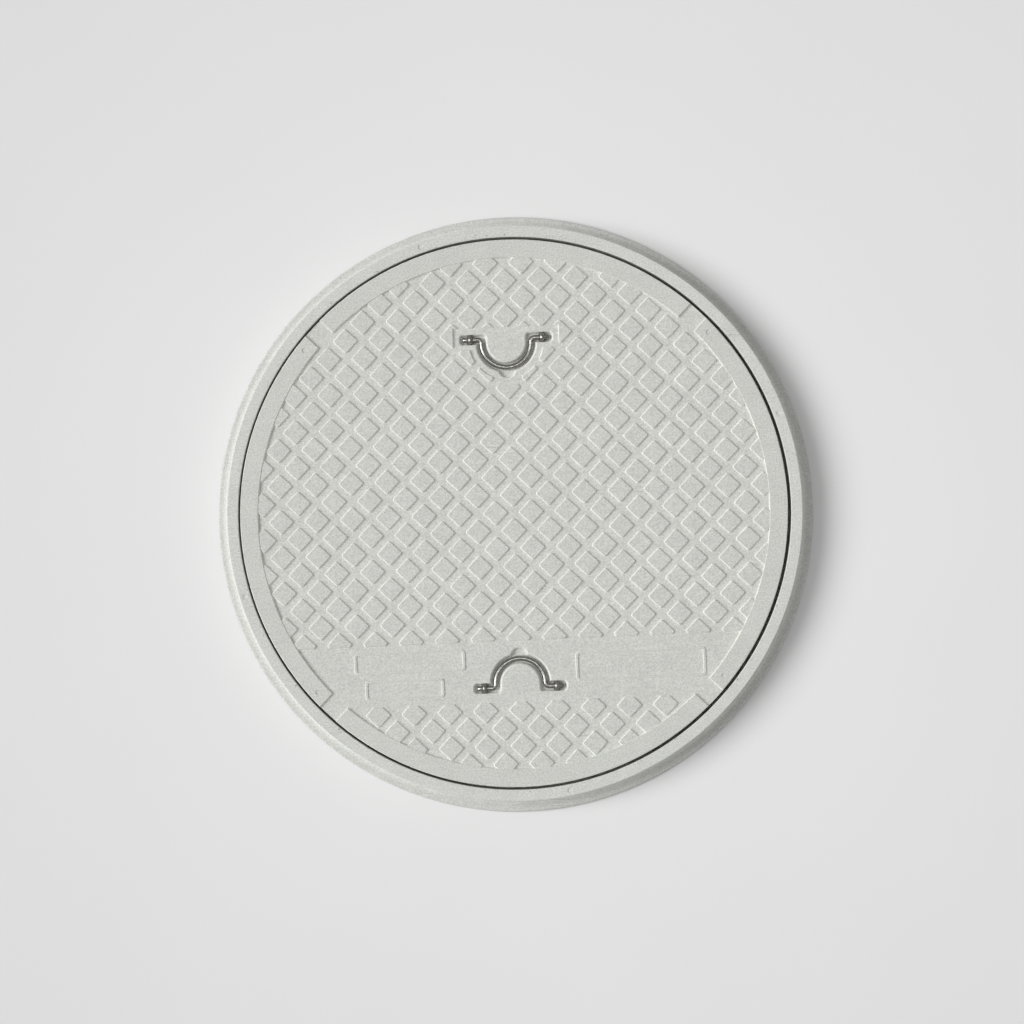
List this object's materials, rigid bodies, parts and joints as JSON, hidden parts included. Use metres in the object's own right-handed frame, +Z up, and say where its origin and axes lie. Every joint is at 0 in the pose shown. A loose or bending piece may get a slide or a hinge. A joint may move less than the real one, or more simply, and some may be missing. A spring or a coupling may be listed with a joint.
{
  "type": "manhole cover",
  "caption": "Round moulded composite manhole cover in its round flanged frame, with a studded tread, rim drain channels and swinging wire lifting handles.",
  "frame": {"origin": "middle of the frame's underside, on the ground face", "axes": "+Z up, +Y towards handle A, +X to the right when handle A is at the top"},
  "size_m": [0.7111, 0.7112, 0.04],
  "materials": {
    "moulded_composite": "light grey glass-fibre plastic, moulded, matt with a fine grain",
    "stainless_wire": "bright drawn stainless wire",
    "stainless_plate": "stamped stainless, satin",
    "seat_rubber": "black rubber, matt"
  },
  "bodies": {
    "frame": {"frame": "moulded_composite", "seat_gasket": "seat_rubber"},
    "cover": {"cover": "moulded_composite", "split_pin_a_left": "stainless_wire", "split_pin_a_right": "stainless_wire", "split_pin_b_left": "stainless_wire", "split_pin_b_right": "stainless_wire", "pin_washer_a_left": "stainless_plate", "pin_washer_a_right": "stainless_plate", "pin_washer_b_left": "stainless_plate", "pin_washer_b_right": "stainless_plate"},
    "handle_a": {"handle_a": "stainless_wire"},
    "handle_b": {"handle_b": "stainless_wire"}
  },
  "joints": [
    {"name": "cover_lift", "type": "slide", "parent": "frame", "child": "cover", "axis": [0, 0, 1], "range_m": [0, 0.15]},
    {"name": "handle_a_swing", "type": "hinge", "parent": "cover", "child": "handle_a", "pos_m": [-0.0008, 0.2068, 0.0335], "axis": [-1, 0, 0], "range_deg": [0, 130]},
    {"name": "handle_b_swing", "type": "hinge", "parent": "cover", "child": "handle_b", "pos_m": [-0.0008, -0.2068, 0.0335], "axis": [1, 0, 0], "range_deg": [0, 130]}
  ]
}
